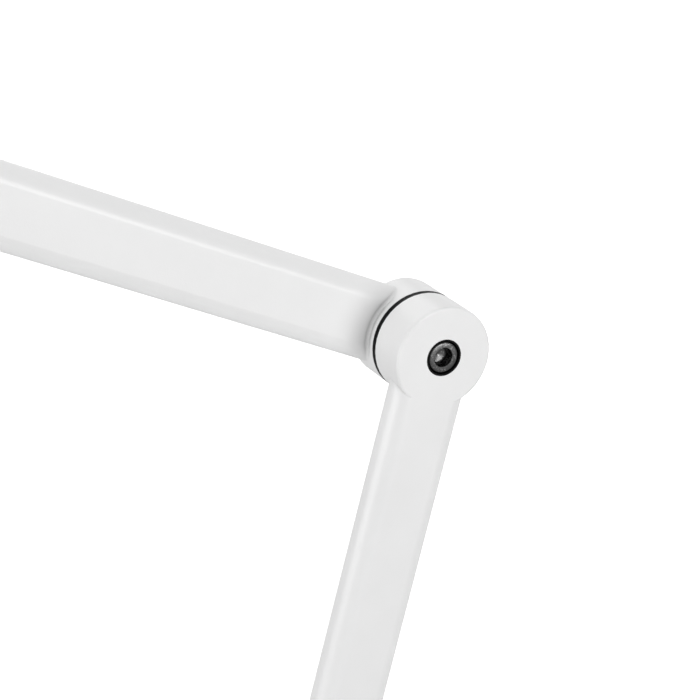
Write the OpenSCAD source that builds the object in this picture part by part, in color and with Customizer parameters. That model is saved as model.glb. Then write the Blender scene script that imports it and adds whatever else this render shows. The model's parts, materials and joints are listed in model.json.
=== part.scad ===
// Folding desk lamp with two swing arms and a slim light head.
// Lengths are millimetres and +Z is up. The origin is on the base's underside, on the axis of the swivel.
// The hinge axes run along Y. The lower arm and the head lie on the -Y side of the hinge washers.
// The post and the upper arm lie on the +Y side, so the arms fold past each other side by side.

/* [Pose] */
// Lean of the lower arm from upright, towards +X, in degrees
lower_lean = 15; // [0:1:30]
// Rise of the upper arm above level, towards -X, in degrees
upper_rise = 25.2; // [10:0.1:50]

/* [Arms] */
// Distance between the pivots of the lower arm
lower_len = 380; // [250:5:480]
// Distance between the pivots of the upper arm
upper_len = 380; // [250:5:480]
// Width of an arm across its flat face
arm_w = 25; // [20:0.5:28]
// Thickness of an arm
arm_t = 11; // [10:0.5:13]
// Wall of the hollow arms
arm_wall = 1.6; // [1:0.1:2.5]

/* [Hinges] */
// Radius of a hinge knuckle
knuckle_r = 16.2; // [15:0.1:20]
// Thickness of a hinge knuckle
knuckle_t = 14; // [13.75:0.25:16]
// Thickness of the friction washer between two knuckles
washer_t = 2; // [1:0.1:2.5]
// How far the washer lies inside the knuckles' rims
washer_inset = 0.2; // [0.1:0.05:1]
// Rounding of a knuckle's outer edge
knuckle_edge = 0.8; // [0.2:0.1:1.5]

/* [Hinge screws] */
// Radius of the screw's shank
screw_r = 3; // [2.5:0.1:3.2]
// Length of the screw's shank
screw_len = 20; // [19:0.5:21]
// Radius of the screw's head
head_r = 5; // [4.6:0.1:5.2]
// Height of the screw's head
head_h = 6; // [5:0.1:6.5]
// Width across the flats of the screw's socket
socket_af = 5; // [4:0.1:5.5]
// Depth of the screw's socket
socket_depth = 3; // [2:0.1:4]
// Turn of the socket about the screw's axis, in degrees
socket_turn = 10; // [0:1:60]
// Outer radius of the black bush round the head, which shows as a black ring
bush_r = 5.86; // [5.7:0.02:6.4]
// Width across the flats of the nut
nut_af = 10; // [9:0.1:10.5]
// Height of the nut
nut_h = 5; // [4:0.1:5.5]

/* [Base] */
// Diameter of the base
base_d = 200; // [180:5:260]
// Height of the base's top face above the table
base_h = 16; // [15.5:0.5:24]
// Sheet thickness of the base's cover
cover_wall = 2.5; // [2:0.1:3]
// Rounding of the cover's top edge
cover_edge = 4; // [2.6:0.1:5]
// Thickness of the rubber pad under the base
pad_t = 1.5; // [1:0.1:2]
// Height of the shoulder hinge above the table
shoulder_z = 50; // [48:1:70]
// Radius of the post's round foot
foot_r = 22; // [22:0.5:30]
// Thickness of the post's round foot
foot_t = 6; // [5.5:0.1:9]
// Swivel of the post to each side, in degrees
swivel_half = 165; // [90:1:168]

/* [Inlet] */
// Radius of the power socket's mouth
inlet_r = 2.75; // [2.5:0.05:3]
// Radius of the socket's nose, which shows in the base's rim
inlet_nose_r = 4.2; // [3.8:0.1:4.3]
// Depth of the socket
inlet_depth = 9.5; // [8:0.5:11]

/* [Head] */
// Length of the light head's housing
head_len = 200; // [180:5:300]
// Width of the light head's housing
head_w = 44; // [42:1:60]
// Thickness of the light head's housing
head_t = 13; // [13:0.5:18]
// Distance from the wrist hinge to the housing
neck_len = 24; // [22:1:40]
// Rounding of the housing's top edge
housing_edge = 3; // [1:0.1:4]
// Side wall of the housing
housing_wall = 1.8; // [1.2:0.1:2.4]
// Roof of the housing
housing_roof = 2; // [1.5:0.1:3]
// Thickness of the opal panel and of the cover beside it
panel_t = 2; // [1.5:0.1:2.4]
// Light chips in each of the two rows
chips_per_row = 12; // [6:1:14]

/* [Button] */
// Radius of the push button
button_r = 6; // [4:0.1:6.5]
// Height of the button above the housing
button_rise = 0.8; // [0.7:0.1:1.5]
// Travel of the button
button_travel = 0.6; // [0.3:0.1:0.6]

/* [Hidden] */
$fn = 96;

// Fits and overruns
run_fit = 0.05;
fit = 0.1;
axial_gap = 0.05;
overrun = 1;

// Colours
white = "#efefee";
black = "#1a1a1b";
steel = "#a9acb0";
bronze = "#a9824a";
board_green = "#2f6b45";
chip_yellow = "#f2e27a";
opal = "#f7f5ee";
iron = "#4c4d50";
rubber = "#2a2a2b";

// Hinge stack along Y: near knuckle, washer, far knuckle
y_near = -knuckle_t - washer_t / 2;
y_far = -y_near;
washer_half = washer_t / 2;

// Screw stack, from the near face inwards
head_sink = 0.2;
head_bevel = 0.3;
socket_mouth = 0.25;
spring_t = 0.6;
spring_cone = 0.25;
spring_room = 0.15;
spring_inner_r = screw_r + spring_room;
spring_outer_r = head_r + spring_room;
spring_stack = 2 * (spring_t + spring_cone) + 2 * axial_gap;
bush_floor = 1.2;
bush_wall = 0.5;
sleeve_wall = 1.2;
cup_depth = head_sink + head_h + spring_stack + axial_gap;
cup_inner_r = bush_r - bush_wall;
sleeve_r = screw_r + run_fit + sleeve_wall;

// Nut and plug, from the far face inwards
cap_t = 2.5;
cap_edge = 0.5;
cap_gap = 0.3;
nut_bevel = 0.5;
nut_y = y_far - cap_t - cap_gap - nut_h;
cap_lap = 1.2;
cap_r = nut_af / sqrt(3) + cap_lap;

// Leads
lead_r = 1.25;
lead_room = 0.3;
lead_stop = knuckle_r / 2;
hollow_start = knuckle_r * 1.25;

// Swivel stack, from the table upwards
post_nut_t = 3;
post_nut_r = 13;
post_spring_t = 0.8;
bush_flange_t = 1;
bush_flange_r = 13;
spigot_r = 8;
spigot_bore_r = 3.5;
swivel_bush_r = 10;
hub_r = 17;
slide_t = 1;
slide_inner_r = 17.5;
pin_r = 1.5;
pin_orbit = 14.5;
pin_rise = 2.5;
pin_seat = 4;
weight_gap = 0.4;
spigot_z = pad_t + 2 * lead_r + 2 * lead_room;
post_spring_z = spigot_z + post_nut_t + axial_gap;
bush_z = post_spring_z + post_spring_t + axial_gap;
hub_z = bush_z + bush_flange_t + axial_gap;
foot_z = base_h + slide_t + axial_gap;
lead_level = foot_z + foot_t / 2;

// Base
rim_lift = 1;
roof_z = base_h - cover_wall;
pad_r = base_d / 2 - cover_wall * 2;
weight_r = base_d / 2 - cover_wall - weight_gap;
base_screw_r = 2;
base_screw_head_r = 4;
base_screw_head_t = 2.2;
base_screw_orbit = base_d * 0.4;
base_screw_angles = [60, 180, 300];
boss_r = 5;
boss_z = base_h * 0.45;

// Inlet
inlet_z = base_h / 2;
inlet_x = base_d / 2 - rim_lift / 2;
inlet_body_w = 9;
inlet_body_h = 9;
inlet_body_len = 13;
inlet_pin_r = 1;
inlet_board_t = 1.2;
inlet_board_w = 20;
inlet_board_len = 30;
inlet_board_z = inlet_z - inlet_body_h / 2 - inlet_board_t - axial_gap;
inlet_back_x = inlet_x - cover_wall - weight_gap;
inlet_board_x = inlet_back_x - inlet_board_len;

// Head, drawn from the wrist towards -X and level
housing_r = head_w / 2;
rear_c = -neck_len - housing_r;
front_c = -neck_len - head_len + housing_r;
inner_r = housing_r - housing_wall;
roof_under = head_t / 2 - housing_roof;
panel_z = -head_t / 2 + 0.1 * housing_roof;
neck_h = 2 * min(roof_under - axial_gap, -panel_z - panel_t - fit);
lead_y = y_near + arm_t * 0.77;
tongue_y = y_near + arm_t * 0.27;
tongue_t = 4;
tongue_start = -neck_len - head_w * 0.3;
tongue_end = -neck_len - head_w * 0.78;
neck_screw_r = 1.5;
neck_screw_head_r = 2.4;
neck_screw_head_t = 1.6;
button_x = tongue_end - head_w * 0.3;
split_x = button_x - head_w * 0.3;
flange_t = 1;
flange_lip = 1.4;
button_edge = 0.6;
plunger_r = 1.5;
plunger_len = 1.8;
switch_w = 6;
switch_h = 3.5;
switch_board_t = 1.2;
switch_board_x = 16;
switch_board_y = 30;
flange_z = roof_under - flange_t - axial_gap;
switch_top = flange_z - 1.6 * button_travel;
switch_board_z = switch_top - switch_h - switch_board_t - axial_gap;
led_board_t = 1.6;
small_screw_r = 1;
small_screw_head_r = 1.9;
small_screw_head_t = 1;
small_screw_len = led_board_t + 0.6 * housing_roof;
tip_room = 0.3;
switch_boss_y = switch_board_y * 0.4;
chip_l = 3.5;
chip_w = 2.8;
chip_t = 0.7;
led_board_w = head_w * 0.62;
led_board_end = front_c - inner_r * 0.45;
led_board_start = split_x - head_w * 0.1;
chip_row_y = led_board_w * 0.25;
chip_pitch = (led_board_start - led_board_end) / chips_per_row;
tray_t = 2.2;
tray_wall = 1.2;
window_r = 2.6;
window_mouth_r = 4.2;

// Where the pivots are
elbow = [lower_len * sin(lower_lean), 0, shoulder_z + lower_len * cos(lower_lean)];
wrist = elbow + upper_len * [-cos(upper_rise), 0, sin(upper_rise)];

// Frames. An arm is drawn along +X from its first pivot.
module at_shoulder() {
    translate([0, 0, shoulder_z]) children();
}

module at_elbow() {
    translate(elbow) children();
}

module at_wrist() {
    translate(wrist) children();
}

module along_lower() {
    at_shoulder() rotate([0, lower_lean - 90, 0]) children();
}

module along_upper() {
    at_elbow() rotate([0, upper_rise - 180, 0]) children();
}

module along_wrist() {
    along_upper() translate([upper_len, 0, 0]) children();
}

// Turns a shape drawn up from z = 0 so that it runs along +Y from the given place
module along_y(y) {
    translate([0, y, 0]) rotate([-90, 0, 0]) children();
}

// Turns a flat shape so that it is extruded along +X, with its own x along Y and its y along Z
module along_x(len) {
    rotate([90, 0, 90]) linear_extrude(height = len) children();
}

// Flat bar with half-round sides: t thick along x, w wide along y
module bar_section(t, w) {
    square([t, w - t], center = true);
    for (side = [-1, 1]) translate([0, side * (w - t) / 2]) circle(d = t);
}

// Flat outline with half-round ends, from x = a to x = b on their centres
module lozenge(a, b, r) {
    translate([min(a, b), -r]) square([abs(b - a), 2 * r]);
    translate([a, 0]) circle(r = r);
    translate([b, 0]) circle(r = r);
}

// Disc whose bottom edge is rounded, drawn up from z = 0
module soft_disc(r, t, edge) {
    rotate_extrude() {
        translate([0, edge]) square([r, t - edge]);
        square([r - edge, t]);
        translate([r - edge, edge]) circle(r = edge, $fn = 32);
    }
}

// Knuckle on the -Y side, round the Y axis, without its holes
module knuckle() {
    along_y(y_near) soft_disc(knuckle_r, knuckle_t, knuckle_edge);
}

// Bar of an arm on the -Y side
module arm_bar(len) {
    translate([0, y_near + arm_t / 2, 0]) along_x(len) bar_section(arm_t, arm_w);
}

// Arm on the -Y side with a knuckle at each end, hollow between them
module arm_blank(len) {
    difference() {
        union() {
            knuckle();
            arm_bar(len);
            translate([len, 0, 0]) knuckle();
        }
        translate([hollow_start, y_near + arm_t / 2, 0]) along_x(len - 2 * hollow_start)
            bar_section(arm_t - 2 * arm_wall, arm_w - 2 * arm_wall);
        translate([lead_stop, y_near + arm_t / 2, 0]) along_x(len - 2 * lead_stop)
            circle(r = lead_r + lead_room, $fn = 32);
    }
}

// Hole for the bush through a knuckle on the -Y side
module bush_hole() {
    along_y(y_near - overrun) cylinder(r = bush_r + fit / 2, h = overrun + cup_depth + bush_floor);
    along_y(y_near) cylinder(r = sleeve_r + fit / 2, h = knuckle_t + overrun);
}

// Hole for the screw, nut and plug through a knuckle on the +Y side
module nut_hole() {
    along_y(0) cylinder(r = screw_r + run_fit, h = y_far);
    along_y(nut_y) cylinder(d = (nut_af + fit) * 2 / sqrt(3), h = nut_h + cap_gap + overrun, $fn = 6);
    along_y(y_far - cap_t - cap_gap) cylinder(r = cap_r + fit / 2, h = cap_t + cap_gap + overrun);
}

// Hinge pieces, round the Y axis
module hinge_bush() {
    color(black) along_y(y_near) difference() {
        union() {
            cylinder(r = bush_r, h = cup_depth + bush_floor);
            cylinder(r = sleeve_r, h = knuckle_t);
        }
        translate([0, 0, -overrun]) cylinder(r = cup_inner_r, h = cup_depth + overrun);
        cylinder(r = screw_r + run_fit, h = knuckle_t + overrun);
    }
}

module hinge_screw() {
    corner_r = socket_af / sqrt(3);
    bevel_r = corner_r - socket_mouth;
    bevel_h = overrun + 2 * socket_mouth;
    color(black) along_y(y_near + head_sink) difference() {
        rotate_extrude() polygon([
            [0, 0],
            [head_r - head_bevel, 0],
            [head_r, head_bevel],
            [head_r, head_h],
            [screw_r, head_h],
            [screw_r, head_h + screw_len],
            [0, head_h + screw_len]
        ]);
        rotate([0, 0, socket_turn]) translate([0, 0, -overrun])
            cylinder(r = corner_r, h = socket_depth + overrun, $fn = 6);
        translate([0, 0, -overrun]) cylinder(r1 = bevel_r + bevel_h, r2 = bevel_r, h = bevel_h);
    }
}

module cone_spring() {
    rotate_extrude() polygon([
        [spring_inner_r, 0],
        [spring_outer_r, spring_cone],
        [spring_outer_r, spring_cone + spring_t],
        [spring_inner_r, spring_t]
    ]);
}

module hinge_springs() {
    color(steel) along_y(y_near + head_sink + head_h + axial_gap) {
        cone_spring();
        translate([0, 0, spring_stack - axial_gap]) mirror([0, 0, 1]) cone_spring();
    }
}

module hinge_washer() {
    color(black) along_y(axial_gap - washer_half) difference() {
        cylinder(r = knuckle_r - washer_inset, h = washer_t - axial_gap);
        translate([0, 0, -overrun]) cylinder(r = screw_r + run_fit, h = washer_t + 2 * overrun);
    }
}

module hinge_nut() {
    corner_r = nut_af / sqrt(3);
    color(steel) along_y(nut_y) difference() {
        intersection() {
            cylinder(r = corner_r, h = nut_h, $fn = 6);
            union() {
                cylinder(r1 = corner_r - nut_bevel, r2 = corner_r, h = nut_bevel);
                translate([0, 0, nut_bevel]) cylinder(r = corner_r, h = nut_h - 2 * nut_bevel);
                translate([0, 0, nut_h - nut_bevel])
                    cylinder(r1 = corner_r, r2 = corner_r - nut_bevel, h = nut_bevel);
            }
        }
        translate([0, 0, -overrun]) cylinder(r = screw_r + run_fit, h = nut_h + 2 * overrun);
    }
}

module hinge_cap() {
    color(white) along_y(y_far) mirror([0, 0, 1]) soft_disc(cap_r, cap_t, cap_edge);
}

// Points for a lead with its corners rounded. Each corner is cut back by the given length.
function corner_points(a, p, b, cut) = let (
    u = p + (a - p) * cut / norm(a - p),
    v = p + (b - p) * cut / norm(b - p)
) [for (s = [0:0.25:1]) u * (1 - s) * (1 - s) + 2 * s * (1 - s) * p + v * s * s];
function route(p, cut) = concat(
    [p[0]],
    [for (i = [1:1:len(p) - 2]) each corner_points(p[i - 1], p[i], p[i + 1], cut)],
    [p[len(p) - 1]]
);
function heading(p, i) = let (
    d = p[min(i + 1, len(p) - 1)] - p[max(i - 1, 0)]
) d / norm(d);

// Round lead along points that all lie in the plane square to the given direction
module lead(points, plane, cut) {
    sides = 8;
    p = route(points, cut);
    rings = [for (i = [0:len(p) - 1], k = [0:sides - 1])
        p[i] + lead_r * (cos(360 * k / sides) * plane + sin(360 * k / sides) * cross(heading(p, i), plane))];
    last = (len(p) - 1) * sides;
    walls = [for (i = [0:len(p) - 2], k = [0:sides - 1]) let (
        a = i * sides + k,
        b = i * sides + (k + 1) % sides
    ) each [[a, a + sides, b], [b, a + sides, b + sides]]];
    color(rubber) polyhedron(
        points = rings,
        faces = concat([[for (k = [0:sides - 1]) k]], walls, [[for (k = [sides - 1:-1:0]) last + k]])
    );
}

// Base
module base_screw_places() {
    for (a = base_screw_angles) rotate([0, 0, a]) translate([base_screw_orbit, 0, 0]) children();
}

module base_cover() {
    rim_r = base_d / 2;
    flat_r = rim_r - cover_edge;
    color(white) difference() {
        union() {
            difference() {
                rotate_extrude() {
                    translate([0, rim_lift]) square([rim_r, base_h - rim_lift - cover_edge]);
                    translate([0, rim_lift]) square([flat_r, base_h - rim_lift]);
                    translate([flat_r, base_h - cover_edge]) circle(r = cover_edge);
                }
                cylinder(r = rim_r - cover_wall, h = roof_z);
            }
            translate([0, 0, hub_z]) cylinder(r = hub_r, h = roof_z - hub_z + cover_wall / 2);
            base_screw_places() translate([0, 0, boss_z])
                cylinder(r = boss_r, h = roof_z - boss_z + cover_wall / 2);
        }
        cylinder(r = swivel_bush_r + fit / 2, h = base_h + overrun);
        rotate([0, 0, 180]) translate([pin_orbit, 0, base_h - pin_seat])
            cylinder(r = pin_r + fit / 2, h = pin_seat + overrun);
        base_screw_places() cylinder(r = base_screw_r + fit / 2, h = roof_z - axial_gap);
        translate([0, 0, inlet_z]) rotate([0, 90, 0]) cylinder(r = inlet_nose_r + fit, h = rim_r + overrun);
    }
}

module base_weight() {
    low = pad_t + axial_gap;
    high = roof_z - weight_gap;
    color(iron) difference() {
        translate([0, 0, low]) cylinder(r = weight_r, h = high - low);
        cylinder(r = hub_r + weight_gap, h = base_h);
        base_screw_places() {
            cylinder(r = base_screw_r + fit, h = base_h);
            cylinder(r = base_screw_head_r + fit, h = low + weight_gap);
            translate([0, 0, low + weight_gap])
                cylinder(r1 = base_screw_head_r + fit, r2 = base_screw_r + fit, h = base_screw_head_t);
            translate([0, 0, boss_z - weight_gap]) cylinder(r = boss_r + weight_gap, h = base_h);
        }
        translate([inlet_board_x - weight_gap, -inlet_board_w / 2 - weight_gap, 0])
            cube([inlet_board_len + base_d / 2, inlet_board_w + 2 * weight_gap, base_h]);
        translate([0, -lead_r - lead_room, 0])
            cube([base_d / 2 - inlet_board_len, 2 * (lead_r + lead_room), spigot_z + lead_room]);
    }
}

module base_pad() {
    color(rubber) cylinder(r = pad_r, h = pad_t);
}

module base_screws() {
    low = pad_t + axial_gap + weight_gap;
    color(steel) base_screw_places() translate([0, 0, low]) difference() {
        union() {
            cylinder(r1 = base_screw_head_r, r2 = base_screw_r, h = base_screw_head_t);
            cylinder(r = base_screw_r, h = roof_z - low - weight_gap);
        }
        translate([0, 0, -overrun])
            cylinder(r = base_screw_r * 0.75, h = overrun + base_screw_head_t / 2, $fn = 6);
    }
}

module swivel_bush() {
    color(bronze) difference() {
        union() {
            translate([0, 0, bush_z]) cylinder(r = bush_flange_r, h = bush_flange_t);
            translate([0, 0, bush_z]) cylinder(r = swivel_bush_r, h = base_h - bush_z);
        }
        cylinder(r = spigot_r + run_fit, h = base_h + overrun);
    }
}

module swivel_washer() {
    color(black) translate([0, 0, base_h]) difference() {
        cylinder(r = foot_r - axial_gap, h = slide_t);
        translate([0, 0, -overrun]) cylinder(r = slide_inner_r, h = slide_t + 2 * overrun);
    }
}

module stop_pin() {
    color(steel) rotate([0, 0, 180]) translate([pin_orbit, 0, base_h - pin_seat])
        cylinder(r = pin_r, h = pin_seat + slide_t + pin_rise);
}

module inlet_jack() {
    color(black) difference() {
        union() {
            translate([inlet_back_x - inlet_body_len, -inlet_body_w / 2, inlet_z - inlet_body_h / 2])
                cube([inlet_body_len, inlet_body_w, inlet_body_h]);
            translate([inlet_back_x - inlet_body_len, 0, inlet_z]) rotate([0, 90, 0])
                cylinder(r = inlet_nose_r, h = inlet_x - inlet_back_x + inlet_body_len);
        }
        translate([inlet_x - inlet_depth, 0, inlet_z]) rotate([0, 90, 0])
            cylinder(r = inlet_r, h = inlet_depth + overrun);
        translate([inlet_x - 1.2 * inlet_depth, 0, inlet_z]) rotate([0, 90, 0])
            cylinder(r = inlet_pin_r + fit / 2, h = inlet_depth);
    }
}

module inlet_pin() {
    color(steel) translate([inlet_x - 1.2 * inlet_depth, 0, inlet_z]) rotate([0, 90, 0])
        cylinder(r = inlet_pin_r, h = inlet_depth);
}

module inlet_board() {
    color(board_green) translate([inlet_board_x, -inlet_board_w / 2, inlet_board_z])
        cube([inlet_board_len, inlet_board_w, inlet_board_t]);
}

module base_lead() {
    level = pad_t + lead_r + lead_room;
    lead([[inlet_board_x - axial_gap, 0, level], [0, 0, level], [0, 0, bush_z]], [0, 1, 0], 2 * lead_r);
}

// Swivel post. Its hinge is on the +Y side.
module swivel_post() {
    bar_y = y_far - arm_t / 2;
    lead_hole_r = lead_r + lead_room;
    rise_hole_r = lead_hole_r + fit;
    color(white) difference() {
        union() {
            at_shoulder() mirror([0, 1, 0]) {
                knuckle();
                rotate([0, 90, 0]) arm_bar(shoulder_z - foot_z - foot_t / 2);
            }
            translate([0, 0, foot_z + foot_t]) mirror([0, 0, 1]) soft_disc(foot_r, foot_t, knuckle_edge);
            translate([0, 0, spigot_z]) cylinder(r = spigot_r, h = foot_z + foot_t / 2 - spigot_z);
        }
        at_shoulder() nut_hole();
        translate([0, 0, spigot_z - overrun])
            cylinder(r = spigot_bore_r, h = lead_level + lead_hole_r + lead_room - spigot_z + overrun);
        translate([0, bar_y, lead_level - rise_hole_r])
            cylinder(r = rise_hole_r, h = shoulder_z - lead_stop - lead_level + rise_hole_r, $fn = 32);
        translate([0, 0, lead_level]) along_y(0) cylinder(r = lead_hole_r, h = bar_y, $fn = 32);
        stop_groove();
    }
}

// Groove under the post's foot, with the web that meets the stop pin left standing
module stop_groove() {
    groove_half = pin_r + lead_room;
    web_angle = 360 - 2 * (swivel_half + asin(pin_r / pin_orbit) + asin(lead_room / pin_orbit));
    rotate([0, 0, web_angle / 2]) rotate_extrude(angle = 360 - web_angle)
        translate([pin_orbit - groove_half, foot_z - overrun])
            square([2 * groove_half, overrun + pin_rise + lead_room]);
}

module post_nut() {
    color(steel) translate([0, 0, spigot_z]) difference() {
        cylinder(r = post_nut_r, h = post_nut_t);
        translate([0, 0, -overrun]) cylinder(r = spigot_r + run_fit, h = post_nut_t + 2 * overrun);
        for (a = [0:60:300]) rotate([0, 0, a]) translate([post_nut_r, 0, -overrun])
            cylinder(r = post_nut_t / 2, h = post_nut_t + 2 * overrun);
    }
}

module post_spring() {
    color(steel) translate([0, 0, post_spring_z]) difference() {
        cylinder(r = post_nut_r - lead_room, h = post_spring_t);
        translate([0, 0, -overrun]) cylinder(r = spigot_r + fit, h = post_spring_t + 2 * overrun);
    }
}

module post_lead() {
    bar_y = y_far - arm_t / 2;
    lead([
        [0, 0, bush_z + axial_gap],
        [0, 0, lead_level],
        [0, bar_y, lead_level],
        [0, bar_y, shoulder_z - lead_stop - lead_room]
    ], [1, 0, 0], lead_r);
}

// Arms
module lower_arm() {
    color(white) along_lower() difference() {
        arm_blank(lower_len);
        bush_hole();
        translate([lower_len, 0, 0]) bush_hole();
    }
}

module upper_arm() {
    color(white) along_upper() difference() {
        mirror([0, 1, 0]) arm_blank(upper_len);
        nut_hole();
        translate([upper_len, 0, 0]) nut_hole();
    }
}

module arm_lead(len, y) {
    start = lead_stop + lead_room;
    lead([[start, y, 0], [len / 2, y, 0], [len - start, y, 0]], [0, 1, 0], lead_r);
}

module lower_lead() {
    along_lower() arm_lead(lower_len, y_near + arm_t / 2);
}

module upper_lead() {
    along_upper() arm_lead(upper_len, y_far - arm_t / 2);
}

// Head
module head_neck() {
    color(white) at_wrist() difference() {
        union() {
            knuckle();
            translate([tongue_start, 0, 0]) neck_profile(-tongue_start);
            translate([tongue_end, y_near, roof_under - tongue_t - axial_gap])
                cube([tongue_start - tongue_end + overrun, arm_t, tongue_t]);
        }
        bush_hole();
        translate([tongue_start - overrun, lead_y, -lead_r - lead_room])
            along_x(-tongue_start - lead_stop + overrun) circle(r = lead_r + lead_room, $fn = 32);
        neck_screw_places() cylinder(r = neck_screw_r + fit / 2, h = head_t);
    }
}

// Neck bar on the -Y side with rounded long edges, along +X from the origin
module neck_profile(len) {
    edge = neck_h * 0.25;
    translate([0, y_near + arm_t / 2, 0]) along_x(len) {
        square([arm_t - 2 * edge, neck_h], center = true);
        square([arm_t, neck_h - 2 * edge], center = true);
        for (a = [-1, 1], b = [-1, 1]) translate([a * (arm_t / 2 - edge), b * (neck_h / 2 - edge)])
            circle(r = edge, $fn = 32);
    }
}

module neck_screw_places() {
    for (s = [0.25, 0.75]) translate([
        tongue_start + s * (tongue_end - tongue_start),
        tongue_y,
        roof_under - tongue_t - neck_screw_head_t - axial_gap
    ]) children();
}

module neck_screws() {
    color(steel) at_wrist() neck_screw_places() difference() {
        union() {
            cylinder(r = neck_screw_head_r, h = neck_screw_head_t);
            cylinder(r = neck_screw_r, h = neck_screw_head_t + tongue_t + housing_roof * 0.6);
        }
        translate([0, 0, -overrun])
            cylinder(r = neck_screw_r * 0.8, h = overrun + neck_screw_head_t / 2, $fn = 6);
    }
}

module housing_blank() {
    soft_r = housing_r - housing_edge;
    for (x = [rear_c, front_c]) translate([x, 0, 0]) rotate_extrude() {
        translate([0, -head_t / 2]) square([housing_r, head_t - housing_edge]);
        translate([0, -head_t / 2]) square([soft_r, head_t]);
        translate([soft_r, head_t / 2 - housing_edge]) circle(r = housing_edge, $fn = 48);
    }
    translate([front_c, 0, 0]) along_x(rear_c - front_c) {
        translate([-housing_r, -head_t / 2]) square([2 * housing_r, head_t - housing_edge]);
        translate([-soft_r, -head_t / 2]) square([2 * soft_r, head_t]);
        for (side = [-1, 1]) translate([side * soft_r, head_t / 2 - housing_edge])
            circle(r = housing_edge, $fn = 48);
    }
}

// Places of the small screws: the switch board's two, then the light board's four between the chips
module small_screw_places() {
    columns = [1, round(chips_per_row / 3), round(2 * chips_per_row / 3), chips_per_row - 1];
    for (side = [-1, 1]) translate([button_x, side * switch_boss_y, switch_board_z]) children();
    for (i = columns) translate([led_board_end + i * chip_pitch, 0, roof_under - led_board_t - axial_gap])
        children();
}

module head_housing() {
    color(white) at_wrist() difference() {
        union() {
            difference() {
                housing_blank();
                translate([0, 0, -head_t / 2 - overrun])
                    linear_extrude(height = roof_under + head_t / 2 + overrun)
                        lozenge(rear_c, front_c, inner_r);
            }
            for (side = [-1, 1])
                translate([button_x, side * switch_boss_y, switch_board_z + switch_board_t + axial_gap])
                    cylinder(r = 2 * small_screw_r, h = roof_under - switch_board_z - switch_board_t);
        }
        translate([rear_c, y_near - fit, -neck_h / 2 - fit])
            cube([housing_r + overrun, arm_t + 2 * fit, neck_h / 2 + roof_under + fit]);
        translate([button_x, 0, 0]) cylinder(r = button_r + fit, h = head_t);
        small_screw_places() cylinder(r = small_screw_r + fit / 2, h = small_screw_len + tip_room);
        neck_screw_places()
            cylinder(r = neck_screw_r + fit / 2, h = neck_screw_head_t + tongue_t + 0.7 * housing_roof);
    }
}

// Panel in the housing's open underside, cut off at the split between the cover and the opal panel
module under_panel(front) {
    keep = head_len;
    translate([0, 0, panel_z]) intersection() {
        linear_extrude(height = panel_t) lozenge(rear_c, front_c, inner_r - fit);
        translate([front ? split_x - keep - fit : split_x + fit, -head_w, -overrun])
            cube([keep, 2 * head_w, panel_t + 2 * overrun]);
    }
}

module head_cover() {
    color(white) at_wrist() under_panel(false);
}

module diffuser() {
    color(opal) at_wrist() under_panel(true);
}

module chip_places() {
    for (i = [0:chips_per_row - 1], side = [-1, 1])
        translate([led_board_end + (i + 0.5) * chip_pitch, side * chip_row_y, 0]) children();
}

module reflector() {
    low = panel_z + panel_t + axial_gap;
    high = roof_under - led_board_t - 2 * axial_gap;
    color(white) at_wrist() difference() {
        intersection() {
            translate([0, 0, low]) linear_extrude(height = high - low)
                lozenge(rear_c, front_c, inner_r - fit);
            translate([split_x - fit - head_len, -head_w, low]) cube([head_len, 2 * head_w, head_t]);
        }
        intersection() {
            translate([0, 0, low - overrun]) linear_extrude(height = high - low - tray_t + overrun)
                lozenge(rear_c, front_c, inner_r - fit - tray_wall);
            translate([split_x - tray_wall - head_len, -head_w, low - overrun])
                cube([head_len, 2 * head_w, head_t]);
        }
        translate([0, 0, high - tray_t - axial_gap]) chip_places()
            cylinder(r1 = window_mouth_r, r2 = window_r, h = tray_t + 2 * axial_gap);
        small_screw_places() translate([0, 0, -small_screw_head_t - tray_t])
            cylinder(r = small_screw_head_r + fit, h = tray_t + small_screw_head_t + overrun);
    }
}

module led_board() {
    color(white) at_wrist() difference() {
        translate([led_board_end, -led_board_w / 2, roof_under - led_board_t])
            cube([led_board_start - led_board_end, led_board_w, led_board_t - axial_gap]);
        small_screw_places() cylinder(r = small_screw_r + fit / 2, h = head_t);
    }
}

module leds() {
    color(chip_yellow) at_wrist() chip_places()
        translate([-chip_l / 2, -chip_w / 2, roof_under - led_board_t - chip_t - axial_gap])
            cube([chip_l, chip_w, chip_t]);
}

module board_screws() {
    color(steel) at_wrist() small_screw_places() {
        translate([0, 0, -small_screw_head_t]) cylinder(r = small_screw_head_r, h = small_screw_head_t);
        cylinder(r = small_screw_r, h = small_screw_len);
    }
}

module switch_board() {
    color(board_green) at_wrist() difference() {
        translate([button_x - switch_board_x / 2, -switch_board_y / 2, switch_board_z])
            cube([switch_board_x, switch_board_y, switch_board_t]);
        small_screw_places() cylinder(r = small_screw_r + fit / 2, h = head_t);
    }
}

module switch_body() {
    low = switch_board_z + switch_board_t + axial_gap;
    color(black) at_wrist() translate([button_x, 0, low]) difference() {
        translate([-switch_w / 2, -switch_w / 2, 0]) cube([switch_w, switch_w, switch_h]);
        translate([0, 0, switch_h - plunger_len]) cylinder(r = plunger_r + fit, h = plunger_len + overrun);
    }
}

module switch_plunger() {
    color(steel) at_wrist() translate([button_x, 0, flange_z - plunger_len])
        cylinder(r = plunger_r, h = plunger_len);
}

module push_button() {
    color(black) at_wrist() translate([button_x, 0, 0]) {
        translate([0, 0, flange_z]) cylinder(r = button_r + flange_lip, h = flange_t);
        translate([0, 0, head_t / 2 + button_rise]) mirror([0, 0, 1])
            soft_disc(button_r, head_t / 2 + button_rise - flange_z, button_edge);
    }
}

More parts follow.
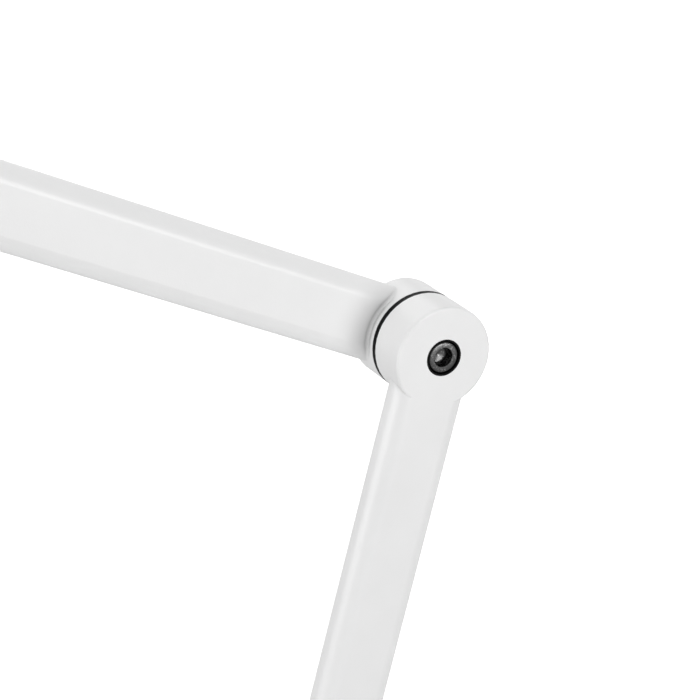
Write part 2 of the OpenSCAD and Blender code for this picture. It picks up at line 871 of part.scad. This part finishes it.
module head_lead() {
    level = -lead_r - lead_room;
    at_wrist() lead([
        [-lead_stop - lead_room, lead_y, level],
        [tongue_start, lead_y, level],
        [button_x + switch_board_x / 2 + lead_room, lead_y, level]
    ], [0, 1, 0], lead_r);
}

base_cover();
base_weight();
base_pad();
base_screws();
swivel_bush();
swivel_washer();
stop_pin();
inlet_jack();
inlet_pin();
inlet_board();
base_lead();
swivel_post();
post_nut();
post_spring();
post_lead();
at_shoulder() hinge_screw();  // shoulder_screw
at_shoulder() hinge_springs();  // shoulder_springs
at_shoulder() hinge_washer();  // shoulder_washer
at_shoulder() hinge_nut();  // shoulder_nut
at_shoulder() hinge_cap();  // shoulder_cap
at_shoulder() hinge_bush();  // shoulder_bush
lower_arm();
lower_lead();
at_elbow() hinge_bush();  // elbow_bush
at_elbow() hinge_screw();  // elbow_screw
at_elbow() hinge_springs();  // elbow_springs
at_elbow() hinge_washer();  // elbow_washer
along_upper() hinge_nut();  // elbow_nut
at_elbow() hinge_cap();  // elbow_cap
upper_arm();
upper_lead();
at_wrist() hinge_screw();  // wrist_screw
at_wrist() hinge_springs();  // wrist_springs
at_wrist() hinge_washer();  // wrist_washer
along_wrist() hinge_nut();  // wrist_nut
at_wrist() hinge_cap();  // wrist_cap
at_wrist() hinge_bush();  // wrist_bush
head_neck();
neck_screws();
head_housing();
head_cover();
diffuser();
reflector();
led_board();
leds();
board_screws();
switch_board();
switch_body();
switch_plunger();
push_button();
head_lead();
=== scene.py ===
# %% [markdown]
# # A folding desk lamp: finish, light and the small turned pieces
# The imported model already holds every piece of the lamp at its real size. This lesson loads it as
# a fixed frame, sets up the camera and the studio, builds the finishes, and models a few small
# pieces whose fine shape belongs to the looks: the hinge screws, the nut plugs, the dished button
# and the coves in the castings' corners.

# %% Load the frame
import json
import math
import bpy
import bmesh
from mathutils import Matrix, Vector


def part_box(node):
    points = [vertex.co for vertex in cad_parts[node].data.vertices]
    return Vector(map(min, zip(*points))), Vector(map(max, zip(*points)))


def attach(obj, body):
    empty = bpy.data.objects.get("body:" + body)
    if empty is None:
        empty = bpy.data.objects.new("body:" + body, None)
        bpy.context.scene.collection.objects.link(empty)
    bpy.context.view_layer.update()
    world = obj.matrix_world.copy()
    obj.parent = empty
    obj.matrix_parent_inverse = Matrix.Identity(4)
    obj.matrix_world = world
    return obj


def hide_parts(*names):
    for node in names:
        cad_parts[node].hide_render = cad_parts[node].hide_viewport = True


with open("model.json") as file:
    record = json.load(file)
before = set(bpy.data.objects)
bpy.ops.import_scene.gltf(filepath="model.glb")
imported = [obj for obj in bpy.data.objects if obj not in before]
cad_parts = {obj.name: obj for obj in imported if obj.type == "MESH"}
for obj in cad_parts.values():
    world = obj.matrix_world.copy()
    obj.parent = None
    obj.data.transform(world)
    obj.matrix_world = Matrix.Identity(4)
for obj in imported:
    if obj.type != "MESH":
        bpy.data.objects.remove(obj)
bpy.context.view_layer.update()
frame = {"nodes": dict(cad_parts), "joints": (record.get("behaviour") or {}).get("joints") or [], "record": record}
nodes = frame["nodes"]
mm = 0.001

# %% [markdown]
# The camera comes first. The picture looks down at the elbow from the left with a long lens, so
# the arms hardly taper. The three directions below are the camera's own right, up and back,
# worked out from its azimuth and elevation. The elbow's centre lands a little right of the middle
# of the frame.

# %% Camera
azimuth = math.radians(-26.95)
elevation = math.radians(21.9)
focal_px = 2266.0
frame_px = 700.0
elbow_depth = 0.7
elbow_px = (420.3, 341.6)
sensor_mm = 36
near_clip, far_clip = 0.05, 20
elbow = next(Vector(j["pos_m"]) for j in frame["joints"] if j["name"] == "elbow_tilt")

back = Vector((
    math.sin(azimuth) * math.cos(elevation),
    -math.cos(azimuth) * math.cos(elevation),
    math.sin(elevation),
))
right = Vector((math.cos(azimuth), math.sin(azimuth), 0))
up = back.cross(right)
across = (elbow_px[0] - frame_px / 2) * elbow_depth / focal_px
above = (frame_px / 2 - elbow_px[1]) * elbow_depth / focal_px

lens = bpy.data.cameras.new("close_view")
lens.sensor_width = sensor_mm
lens.lens = focal_px * sensor_mm / frame_px
lens.clip_start, lens.clip_end = near_clip, far_clip
camera = bpy.data.objects.new("close_view", lens)
camera.matrix_world = Matrix((
    (right.x, up.x, back.x, 0),
    (right.y, up.y, back.y, 0),
    (right.z, up.z, back.z, 0),
    (0, 0, 0, 1),
))
camera.location = elbow - right * across - up * above + back * elbow_depth
bpy.context.scene.collection.objects.link(camera)
bpy.context.scene.camera = camera
print("lens mm:", round(lens.lens, 1), "camera at:", [round(v, 3) for v in camera.location])

# %% [markdown]
# The studio is plain: a wide pale floor, an even white surround and small soft boxes. The
# surround gives half of the light. The front box and the low box stand right of centre, so the
# stack of knuckles throws a soft shadow on the upper arm. The glint box at the left draws the
# bright line along the lower arm's round side.

# %% Studio
scene = bpy.context.scene
scene.view_settings.view_transform = "Standard"
surround_level = 0.56
box_distance = 1.8
soft_boxes = [
    # name, direction from the elbow, width in metres, power in watts
    ("front_box", (0.259, -0.966, 0.0), 0.5, 6.8),
    ("low_box", (0.415, -0.890, -0.191), 0.5, 5.3),
    ("left_box", (-0.996, 0.087, 0.0), 0.5, 4.4),
    ("glint_box", (-0.956, -0.292, 0.0), 0.25, 3.8),
    ("right_box", (0.94, 0.342, 0.0), 0.5, 5.6),
    ("back_box", (0.15, 1.0, 0.25), 1.0, 7.0),
    ("top_box", (-0.1, 0.1, 1.0), 1.1, 6.0),
]


def link(tree, out_node, out_name, in_node, in_name):
    tree.links.new(out_node.outputs[out_name], in_node.inputs[in_name])


def white_surround(strength):
    world = bpy.data.worlds.new("white_surround")
    scene.world = world
    world.use_nodes = True
    tree = world.node_tree
    shade = tree.nodes["Background"]
    shade.inputs["Color"].default_value = (1, 1, 1, 1)
    path = tree.nodes.new("ShaderNodeLightPath")
    seen = path.outputs["Is Camera Ray"]
    for ray in ("Is Glossy Ray", "Is Transmission Ray"):
        either = tree.nodes.new("ShaderNodeMath")
        either.operation = "MAXIMUM"
        tree.links.new(seen, either.inputs[0])
        tree.links.new(path.outputs[ray], either.inputs[1])
        seen = either.outputs[0]
    level = tree.nodes.new("ShaderNodeMapRange")
    level.inputs["To Min"].default_value = strength
    level.inputs["To Max"].default_value = 1
    tree.links.new(seen, level.inputs["Value"])
    link(tree, level, "Result", shade, "Strength")


def soft_box(name, direction, width, power):
    lamp = bpy.data.lights.new(name, "AREA")
    lamp.shape = "SQUARE"
    lamp.size = width
    lamp.energy = power
    box = bpy.data.objects.new(name, lamp)
    toward = Vector(direction).normalized()
    facing = toward.to_track_quat("Z", "Y").to_matrix().to_4x4()
    box.matrix_world = Matrix.Translation(elbow + toward * box_distance) @ facing
    scene.collection.objects.link(box)


white_surround(surround_level)
for row in soft_boxes:
    soft_box(*row)

# %% [markdown]
# The floor lies a hair below the lamp's pad. It is a plain grey to the light that it hands on,
# and is lifted towards white only where the camera sees it.

# %% Floor
floor_size, floor_drop = 8, 0.0002
floor_grey, camera_lift = 0.65, 0.8
bpy.ops.object.select_all(action="DESELECT")
bpy.ops.mesh.primitive_plane_add(size=floor_size, location=(0, 0, -floor_drop))
floor = bpy.context.object
floor.name = "studio_floor"


def pale_floor():
    mat = bpy.data.materials.new("pale_floor")
    mat.use_nodes = True
    tree = mat.node_tree
    shade = tree.nodes["Principled BSDF"]
    shade.inputs["Base Color"].default_value = (floor_grey, floor_grey, floor_grey, 1)
    shade.inputs["Roughness"].default_value = 0.9
    shade.inputs["Specular IOR Level"].default_value = 0.1
    shade.inputs["Emission Color"].default_value = (1, 1, 1, 1)
    path = tree.nodes.new("ShaderNodeLightPath")
    lift = tree.nodes.new("ShaderNodeMath")
    lift.operation = "MULTIPLY"
    lift.inputs[1].default_value = camera_lift
    tree.links.new(path.outputs["Is Camera Ray"], lift.inputs[0])
    tree.links.new(lift.outputs[0], shade.inputs["Emission Strength"])
    return mat


floor.data.materials.append(pale_floor())
print("floor:", floor.name, "metres across:", floor_size)

# %% [markdown]
# Powder coat is paint that was melted on, so it is never quite flat: a fine orange peel covers
# it, and here and there a grain stands proud. One group makes that relief, with its scale, and
# every coated or moulded finish uses it with its own values.

# %% Shared group: fine relief
def new_group(name, inputs, outputs):
    tree = bpy.data.node_groups.new(name, "ShaderNodeTree")
    for label, value in inputs:
        socket = tree.interface.new_socket(label, in_out="INPUT", socket_type="NodeSocketFloat")
        socket.default_value = value
    for label in outputs:
        tree.interface.new_socket(label, in_out="OUTPUT", socket_type="NodeSocketFloat")
    start = tree.nodes.new("NodeGroupInput")
    end = tree.nodes.new("NodeGroupOutput")
    place = tree.nodes.new("ShaderNodeTexCoord")
    return tree, start, end, place


def noise(tree, place, detail):
    node = tree.nodes.new("ShaderNodeTexNoise")
    node.inputs["Detail"].default_value = detail
    link(tree, place, "Object", node, "Vector")
    return node


def math_node(tree, operation, first, second):
    node = tree.nodes.new("ShaderNodeMath")
    node.operation = operation
    for i, value in enumerate((first, second)):
        if isinstance(value, (int, float)):
            node.inputs[i].default_value = value
        else:
            tree.links.new(value, node.inputs[i])
    return node.outputs[0]


def relief_group():
    tree, start, end, place = new_group(
        "fine_relief", [("Grain", 2400), ("Cloud", 90), ("Cloud share", 0.2)], ["Height", "Cloud"])
    peel = noise(tree, place, 2)
    link(tree, start, "Grain", peel, "Scale")
    cloud = noise(tree, place, 3)
    link(tree, start, "Cloud", cloud, "Scale")
    mixed = math_node(tree, "MULTIPLY", cloud.outputs["Fac"], start.outputs["Cloud share"])
    tree.links.new(math_node(tree, "ADD", peel.outputs["Fac"], mixed), end.inputs["Height"])
    tree.links.new(cloud.outputs["Fac"], end.inputs["Cloud"])
    return tree


fine_relief = relief_group()
print("group:", fine_relief.name, [s.name for s in fine_relief.interface.items_tree])

# %% [markdown]
# Metal that was turned, rolled or handled has fine lines and a few worn spots. The second group
# stretches one noise along an axis for the lines, and thresholds another for the wear.

# %% Shared group: worked metal
line_stretch = (0.12, 1, 0.12)
wear_from, wear_to = 0.5, 0.75


def worked_group():
    tree, start, end, place = new_group(
        "worked_metal", [("Lines", 900), ("Wear", 160), ("Wear amount", 0.5)], ["Lines", "Wear"])
    squeeze = tree.nodes.new("ShaderNodeMapping")
    squeeze.inputs["Scale"].default_value = line_stretch
    link(tree, place, "Object", squeeze, "Vector")
    lines = tree.nodes.new("ShaderNodeTexNoise")
    lines.inputs["Detail"].default_value = 3
    link(tree, squeeze, "Vector", lines, "Vector")
    link(tree, start, "Lines", lines, "Scale")
    spots = noise(tree, place, 4)
    link(tree, start, "Wear", spots, "Scale")
    tree.links.new(lines.outputs["Fac"], end.inputs["Lines"])
    edge = tree.nodes.new("ShaderNodeMapRange")
    edge.inputs["From Min"].default_value = wear_from
    edge.inputs["From Max"].default_value = wear_to
    link(tree, spots, "Fac", edge, "Value")
    wear = math_node(tree, "MULTIPLY", edge.outputs[0], start.outputs["Wear amount"])
    tree.links.new(wear, end.inputs["Wear"])
    return tree


worked_metal = worked_group()
print("group:", worked_metal.name, [s.name for s in worked_metal.interface.items_tree])

# %% [markdown]
# Every finish below starts from the same short recipe: a group feeds a colour ramp for a slight
# change of tone, a range for the gloss, and a bump for the relief. Values that are the same all
# over sit on the shader itself. Two finishes also get painted shade: an ambient occlusion mask
# darkens their colour in tight corners and recesses, where shade falls.

# %% Recipe for a finish
corner_samples = 8
corner_shut, corner_open = 0.5, 0.95
ramp_from, ramp_to = 0.3, 0.7
looks = {}


# Painted shade: an ambient occlusion mask multiplies the base colour, darkening it in corners and recesses where
# shade falls.
def painted_corner_shade(tree, colour, reach, depth):
    nook = tree.nodes.new("ShaderNodeAmbientOcclusion")
    nook.samples = corner_samples
    nook.inputs["Distance"].default_value = reach
    fade = tree.nodes.new("ShaderNodeMapRange")
    fade.interpolation_type = "SMOOTHSTEP"
    fade.inputs["From Min"].default_value = corner_shut
    fade.inputs["From Max"].default_value = corner_open
    fade.inputs["To Min"].default_value = depth
    link(tree, nook, "AO", fade, "Value")
    mix = tree.nodes.new("ShaderNodeMix")
    mix.data_type = "RGBA"
    mix.blend_type = "MULTIPLY"
    mix.inputs["Factor"].default_value = 1
    tree.links.new(colour, mix.inputs["A"])
    tree.links.new(fade.outputs["Result"], mix.inputs["B"])
    return mix.outputs["Result"]


def finish(name, group, values, signal, dark, light, rough, bump,
           metallic=0, specular=0.5, coat=0, corner=None):
    mat = bpy.data.materials.new(name)
    mat.use_nodes = True
    tree = mat.node_tree
    shade = tree.nodes["Principled BSDF"]
    shade.inputs["Metallic"].default_value = metallic
    shade.inputs["Specular IOR Level"].default_value = specular
    shade.inputs["Coat Weight"].default_value = coat
    pattern = tree.nodes.new("ShaderNodeGroup")
    pattern.node_tree = group
    for label, value in values.items():
        pattern.inputs[label].default_value = value
    tone = tree.nodes.new("ShaderNodeValToRGB")
    first, last = tone.color_ramp.elements
    first.position, last.position = ramp_from, ramp_to
    first.color, last.color = (*dark, 1), (*light, 1)
    link(tree, pattern, signal, tone, "Fac")
    colour = tone.outputs["Color"]
    # painted shade in corners, for the finishes that ask for it
    if corner:
        colour = painted_corner_shade(tree, colour, *corner)
    tree.links.new(colour, shade.inputs["Base Color"])
    gloss = tree.nodes.new("ShaderNodeMapRange")
    gloss.inputs["To Min"].default_value, gloss.inputs["To Max"].default_value = rough
    link(tree, pattern, signal, gloss, "Value")
    link(tree, gloss, "Result", shade, "Roughness")
    relief = tree.nodes.new("ShaderNodeBump")
    relief.inputs["Strength"].default_value, relief.inputs["Distance"].default_value = bump
    tree.links.new(pattern.outputs[0], relief.inputs["Height"])
    link(tree, relief, "Normal", shade, "Normal")
    looks[name] = mat


def grey(level, warm=0.0):
    return (level + warm, level, level - warm)


# Painted shade: the white coat darkens within 3 mm of an inside corner, deepening the crease beside each knuckle.
finish("white_coat", fine_relief, {"Grain": 2200, "Cloud": 60}, "Cloud",
       grey(0.845), grey(0.865), (0.36, 0.40), (0.25, 0.00008),
       specular=0.8, corner=(0.003, 0.15))
finish("white_plastic", fine_relief, {"Grain": 3000, "Cloud": 80}, "Cloud",
       grey(0.80), grey(0.83), (0.38, 0.46), (0.12, 0.00005))
finish("black_plastic", fine_relief, {"Grain": 2600, "Cloud": 120}, "Cloud",
       grey(0.004), grey(0.007), (0.34, 0.46), (0.3, 0.00008),
       specular=0.06)
# Painted shade: the black steel darkens within 1.2 mm of a recess, blackening the inside of the socket.
finish("black_steel", worked_metal, {"Lines": 2600, "Wear": 1500, "Wear amount": 1.0}, "Wear",
       grey(0.075), grey(0.26), (0.30, 0.18), (0.3, 0.00004),
       metallic=1, coat=0.4, corner=(0.0012, 0.1))
finish("bright_steel", worked_metal, {"Lines": 1800, "Wear": 300}, "Lines",
       grey(0.50), grey(0.62), (0.22, 0.36), (0.15, 0.00004),
       metallic=1)
finish("cast_iron", fine_relief, {"Grain": 700, "Cloud": 120, "Cloud share": 0.8}, "Cloud",
       grey(0.05), grey(0.085), (0.55, 0.75), (0.6, 0.0004),
       metallic=0.6)
finish("rubber", fine_relief, {"Grain": 1600, "Cloud": 140}, "Cloud",
       grey(0.014), grey(0.022), (0.7, 0.85), (0.5, 0.00015),
       specular=0.3)
finish("bronze", worked_metal, {"Lines": 1500, "Wear": 260}, "Lines",
       (0.36, 0.21, 0.08), (0.45, 0.28, 0.12), (0.3, 0.45), (0.2, 0.00005),
       metallic=1)
finish("lead_sleeve", fine_relief, {"Grain": 2000, "Cloud": 200}, "Cloud",
       grey(0.015), grey(0.025), (0.45, 0.6), (0.2, 0.00006))
finish("circuit_board", fine_relief, {"Grain": 1400, "Cloud": 160}, "Cloud",
       (0.01, 0.09, 0.035), (0.016, 0.125, 0.05), (0.25, 0.4), (0.15, 0.00005),
       coat=0.3)
finish("board_metal", fine_relief, {"Grain": 1400, "Cloud": 100}, "Cloud",
       grey(0.72), grey(0.78), (0.3, 0.42), (0.1, 0.00004))
finish("light_chip", fine_relief, {"Grain": 3200, "Cloud": 700}, "Cloud",
       (0.72, 0.55, 0.08), (0.85, 0.68, 0.14), (0.3, 0.45), (0.15, 0.00004))
finish("opal_panel", fine_relief, {"Grain": 2600, "Cloud": 50}, "Cloud",
       grey(0.80, 0.01), grey(0.83, 0.008), (0.5, 0.6), (0.2, 0.00005))
print("finishes:", sorted(looks))

# %% [markdown]
# The record already says which finish each node has, so the looks are handed out from it.

# %% Dress the nodes
slot_of = {sub["node"]: sub["material_slot"] for sub in frame["record"]["subparts"]}
for name, obj in nodes.items():
    slot = slot_of.get(name)
    if slot not in looks:
        print("no finish for", name, slot)
        continue
    obj.data.materials.clear()
    obj.data.materials.append(looks[slot])
print("dressed:", sum(slot_of.get(name) in looks for name in nodes), "of", len(nodes))

# %% [markdown]
# The turned pieces come next: screws, plugs and the button are all round, so each starts as one
# circle. Its edge is extruded again and again, as a turner cuts a profile, and every new ring is
# laid out by a rule that says how far from the axis and how deep it lies in each direction. A
# hexagon is only such a rule, too.

# %% Helpers for turned pieces
joint_at = {j["name"]: Vector(j["pos_m"]) for j in frame["joints"] if "pos_m" in j}
pivots = {"shoulder": joint_at["shoulder_tilt"], "elbow": elbow, "wrist": joint_at["head_tilt"]}
round_sides = 96


def lay_out(obj, rule):
    mesh = bmesh.from_edit_mesh(obj.data)
    for vert in mesh.verts:
        if vert.select:
            angle = math.atan2(vert.co.y, vert.co.x)
            reach, depth = rule(angle)
            vert.co = Vector((reach * math.cos(angle), reach * math.sin(angle), depth)) * mm
    bmesh.update_edit_mesh(obj.data)


def plain(reach, depth):
    return lambda angle: (reach, depth)


def cover_end(obj, first):
    bpy.ops.mesh.select_all(action="DESELECT")
    mesh = bmesh.from_edit_mesh(obj.data)
    mesh.verts.ensure_lookup_table()
    for i in range(first, first + round_sides):
        mesh.verts[i].select_set(True)
    mesh.select_flush(True)
    bmesh.update_edit_mesh(obj.data)
    bpy.ops.mesh.edge_face_add()


def turned(name, rules):
    bpy.ops.object.select_all(action="DESELECT")
    bpy.ops.mesh.primitive_circle_add(vertices=round_sides, radius=mm)
    obj = bpy.context.object
    obj.name = obj.data.name = name
    bpy.ops.object.mode_set(mode="EDIT")
    bpy.ops.mesh.select_all(action="SELECT")
    lay_out(obj, rules[0])
    for rule in rules[1:]:
        bpy.ops.mesh.extrude_edges_move()
        lay_out(obj, rule)
    cover_end(obj, 0)
    cover_end(obj, (len(rules) - 1) * round_sides)
    bpy.ops.mesh.select_all(action="SELECT")
    bpy.ops.mesh.normals_make_consistent(inside=False)
    bpy.ops.object.mode_set(mode="OBJECT")
    return obj


def copies(master, names):
    made = []
    for name in names:
        obj = master.copy()
        obj.data = master.data.copy()
        obj.name = obj.data.name = name
        scene.collection.objects.link(obj)
        made.append(obj)
    bpy.data.objects.remove(master)
    return made


def seat(obj, hinge, face, turn):
    spot = Vector((pivots[hinge].x, face, pivots[hinge].z))
    obj.data.transform(Matrix.Translation(spot) @ turn)


def settle(obj, body, slot, stands_for=(), smooth=30):
    bpy.ops.object.select_all(action="DESELECT")
    obj.select_set(True)
    bpy.context.view_layer.objects.active = obj
    bpy.ops.object.shade_smooth_by_angle(angle=math.radians(smooth))
    obj.data.materials.clear()
    obj.data.materials.append(looks[slot])
    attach(obj, body)
    if stands_for:
        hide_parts(*stands_for)
    print(obj.name, "faces:", len(obj.data.polygons), "on", body)


for name, spot in pivots.items():
    print(name, "pivot in mm:", [round(v / mm, 1) for v in spot])

# %% [markdown]
# A socket screw is forged, then knurled and blackened. Its socket is a hexagon with a slightly
# dished floor, which catches the light from the front. A short round mouth leads in, and the cone
# below it leaves a scallop over each flat: it reaches further down where the hexagon's wall is
# nearer the axis. The screw is modelled once, and each hinge gets a copy with its own mesh.

# %% Hinge screws
flats, socket_deep, mouth_r, cone = 5.0, 3.0, 3.08, 1.6
head_r, head_high, shank_r, shank_end = 5.0, 6.0, 3.0, 26.0
knurl_deep = 0.14
socket_turn = math.radians(10)
screw_bodies = {"shoulder": "post", "elbow": "upper", "wrist": "upper"}


def hexagon(angle):
    sector = math.radians(60)
    return flats / 2 / math.cos(angle % sector - sector / 2)


def scallop(out, depth):
    return lambda angle: (hexagon(angle) + out, cone * (mouth_r - hexagon(angle)) + depth)


def knurl(depth):
    def rule(angle):
        in_groove = round(angle * round_sides / math.tau) % 2
        return (head_r - (knurl_deep if in_groove else 0), depth)
    return rule


screw_rings = [
    # the socket, from its floor to its mouth
    plain(0.3, socket_deep + 0.5), plain(2.3, socket_deep),
    lambda angle: (hexagon(angle), socket_deep),
    scallop(0, 0.4), scallop(0.04, 0.3),
    plain(mouth_r - 0.02, 0.36), plain(mouth_r, 0.14), plain(mouth_r + 0.12, 0),
    # the face, the rounded rim and the knurled side
    plain(4.4, 0), plain(4.66, 0.05), plain(4.86, 0.18), plain(4.97, 0.38), plain(head_r, 0.6),
    knurl(0.75), knurl(head_high - 0.5),
    # the underside and the shank
    plain(head_r, head_high - 0.4), plain(head_r - 0.1, head_high - 0.1),
    plain(head_r - 0.3, head_high), plain(shank_r, head_high),
    plain(shank_r, shank_end - 0.8), plain(shank_r - 0.6, shank_end),
]
into_lamp = Matrix.Rotation(math.radians(-90), 4, "X") @ Matrix.Rotation(socket_turn, 4, "Z")
screws = copies(turned("cap_screw", screw_rings), [f"{hinge}_cap_screw" for hinge in screw_bodies])
for (hinge, body), screw in zip(screw_bodies.items(), screws):
    seat(screw, hinge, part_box(f"{hinge}_screw")[0].y, into_lamp)
    settle(screw, body, "black_steel", [f"{hinge}_screw"])

# %% [markdown]
# The plugs over the nuts are moulded. A moulder gives a flat face a shallow dish inside a narrow
# rim, which hides the sink mark and lets a fingernail find the edge.

# %% Nut plugs
plug_r, plug_t = 6.97, 2.5
plug_rings = [
    # the inner face and the side
    plain(plug_r - 1.4, plug_t), plain(plug_r - 0.25, plug_t),
    plain(plug_r, plug_t - 0.3), plain(plug_r, 0.5),
    # the rounded edge and the narrow rim
    plain(plug_r - 0.05, 0.28), plain(plug_r - 0.18, 0.1),
    plain(plug_r - 0.4, 0), plain(plug_r - 0.85, 0),
    # the dish
    plain(plug_r - 1.0, 0.05), plain(plug_r - 1.15, 0.22), plain(plug_r - 1.35, 0.3),
    plain(3.0, 0.34), plain(0.4, 0.35),
]
out_of_lamp = Matrix.Rotation(math.radians(90), 4, "X")
plugs = copies(turned("plug", plug_rings), [f"{hinge}_plug" for hinge in screw_bodies])
for (hinge, body), plug in zip(screw_bodies.items(), plugs):
    seat(plug, hinge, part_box(f"{hinge}_cap")[1].y, out_of_lamp)
    settle(plug, body, "white_plastic", [f"{hinge}_cap"])

# %% [markdown]
# A fingertip finds a push button by its dish. The button is one moulding with the flange that
# holds it under the roof of the head, so the same profile runs from the flange up the side and
# down into the dish.

# %% Push button
button_low, button_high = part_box("push_button")
middle = (button_low + button_high) / 2
button_tall = (button_high.z - button_low.z) / mm
flange_r = (button_high.x - button_low.x) / 2 / mm
button_r, flange_t = 6.0, 1.0
button_rings = [
    # the flange
    plain(0.4, 0), plain(flange_r - 0.2, 0), plain(flange_r, 0.2),
    plain(flange_r, flange_t - 0.2), plain(flange_r - 0.2, flange_t),
    # the side and the rounded rim
    plain(button_r, flange_t), plain(button_r, button_tall - 0.6),
    plain(button_r - 0.06, button_tall - 0.34), plain(button_r - 0.22, button_tall - 0.12),
    plain(button_r - 0.5, button_tall), plain(button_r - 0.8, button_tall),
    # the dish
    plain(button_r - 1.0, button_tall - 0.03), plain(button_r - 1.6, button_tall - 0.2),
    plain(button_r - 2.6, button_tall - 0.38), plain(button_r - 3.8, button_tall - 0.49),
    plain(button_r - 5.0, button_tall - 0.54), plain(0.3, button_tall - 0.55),
]
button = turned("dished_button", button_rings)
button.data.transform(Matrix.Translation((middle.x, middle.y, button_low.z)))
settle(button, "button", "black_plastic", ["push_button"])

# %% [markdown]
# A cast knuckle meets its bar in a small cove, because a mould needs a radius in every inner
# corner. Roll a ball of that radius along the corner: it touches the knuckle along one line and
# the bar along another, and the arc between the two lines is the cove. No operator rolls a ball
# over two curved faces, so its centre is worked out here for each place round the bar, and the
# arcs are skinned. The back of each bead lies inside the casting.

# %% Coves: the rolling ball
knuckle_r, knuckle_edge = 16.2, 0.8
stack_half = 15.0
arm_w, arm_t = 25.0, 11.0
neck_high = 8.4
cove_r, root = 1.0, 0.5
arc_steps, quarter_steps = 8, 14
longest_step, shortest_step = 1.2, 0.01


def bar_outline(half_t, half_w, corner, start):
    spots = []
    for quarter in range(4):
        centre = Vector((
            (half_t - corner) * (1 if quarter in (1, 2) else -1),
            (half_w - corner) * (1 if quarter < 2 else -1),
        ))
        for i in range(quarter_steps + 1):
            angle = math.radians(90) * (quarter + i / quarter_steps)
            angle = min(max(angle, start), math.tau - start)
            normal = Vector((-math.cos(angle), math.sin(angle)))
            spot = centre + corner * normal
            if spots and (spot - spots[-1][0]).length > longest_step:
                last = spots[-1][0]
                parts = math.ceil((spot - last).length)
                spots += [(last.lerp(spot, k / parts), normal) for k in range(1, parts)]
            if not spots or (spot - spots[-1][0]).length > shortest_step:
                spots.append((spot, normal))
    return spots


def knuckle_contact(spot, normal, near):
    ball = spot + cove_r * normal
    dip = max(0, near + knuckle_edge - ball.x)
    reach = knuckle_r - knuckle_edge + math.sqrt((knuckle_edge + cove_r) ** 2 - dip ** 2)
    away = math.sqrt(reach ** 2 - ball.y ** 2)
    tilt = dip / (knuckle_edge + cove_r)
    out = Vector((away, 0, ball.y)) / reach * math.sqrt(1 - tilt ** 2) - Vector((0, tilt, 0))
    return Vector((away, ball.x, ball.y)), Vector((0, normal.x, normal.y)), out


def cove_ring(centre, first, last):
    turn = first.angle(last)
    ring = []
    for i in range(arc_steps + 1):
        t = i / arc_steps
        side = (first * math.sin((1 - t) * turn) + last * math.sin(t * turn)) / math.sin(turn)
        ring.append(centre - side * cove_r)
    ring.append(centre - (first + last).normalized() * (cove_r + root) / math.cos(turn / 2))
    return ring


def skin(name, strips):
    verts, faces = [], []
    for rings, closed, place in strips:
        count, base = len(rings[0]), len(verts)
        verts += [place @ (co * mm) for ring in rings for co in ring]
        for i in range(len(rings) if closed else len(rings) - 1):
            a, b = base + i * count, base + (i + 1) % len(rings) * count
            for k in range(count):
                after = (k + 1) % count
                faces.append((a + k, a + after, b + after, b + k))
        if not closed:
            faces.append(tuple(range(base, base + count)))
            faces.append(tuple(range(len(verts) - count, len(verts))))
    mesh = bpy.data.meshes.new(name)
    mesh.from_pydata(verts, [], faces)
    shell = bmesh.new()
    shell.from_mesh(mesh)
    bmesh.ops.recalc_face_normals(shell, faces=shell.faces)
    shell.to_mesh(mesh)
    shell.free()
    obj = bpy.data.objects.new(name, mesh)
    scene.collection.objects.link(obj)
    return obj


arm_outline = bar_outline(arm_t / 2, arm_w / 2, arm_t / 2, 0)
print("ball of", cove_r, "mm, places round an arm:", len(arm_outline))

# %% [markdown]
# Each hinge has two corners that need a cove, one on either side of the washer, and the post has
# one more at its foot. The beads of one casting are one piece, which rides with the casting's own
# body.

# %% Coves: one bead for each corner
end_gap = math.radians(4)
foot_top = 23.05 * mm


def corner_place(pivot, along, side):
    columns = (along, Vector((0, side, 0)), along.cross(Vector((0, 1, 0))))
    return Matrix.Translation(pivot) @ Matrix(columns).transposed().to_4x4()


def knuckle_cove(pivot, along, side, width=arm_w, corner=arm_t / 2):
    middle = Vector((arm_t / 2 - stack_half, 0))
    rings = []
    for spot, normal in bar_outline(arm_t / 2, width / 2, corner, end_gap):
        rings.append(cove_ring(*knuckle_contact(spot + middle, normal, -stack_half)))
    return rings, False, corner_place(pivot, along, side)


def foot_cove(level):
    rings = []
    for spot, normal in arm_outline:
        ball = spot + cove_r * normal
        centre = Vector((ball.y, -ball.x, cove_r))
        rings.append(cove_ring(centre, Vector((normal.y, -normal.x, 0)), Vector((0, 0, 1))))
    return rings, True, Matrix.Translation((0, (stack_half - arm_t / 2) * mm, level))


lower_way = (pivots["elbow"] - pivots["shoulder"]).normalized()
upper_way = (pivots["wrist"] - pivots["elbow"]).normalized()
coves = {
    "lower_arm_coves": ("lower", [
        knuckle_cove(pivots["shoulder"], lower_way, 1),
        knuckle_cove(elbow, -lower_way, 1),
    ]),
    "upper_arm_coves": ("upper", [
        knuckle_cove(elbow, upper_way, -1),
        knuckle_cove(pivots["wrist"], -upper_way, -1),
    ]),
    "post_coves": ("post", [
        knuckle_cove(pivots["shoulder"], Vector((0, 0, -1)), -1),
        foot_cove(foot_top),
    ]),
    "neck_cove": ("head", [
        knuckle_cove(pivots["wrist"], Vector((-1, 0, 0)), 1, neck_high, neck_high / 4),
    ]),
}
for name, (body, strips) in coves.items():
    settle(skin(name, strips), body, "white_coat", smooth=40)
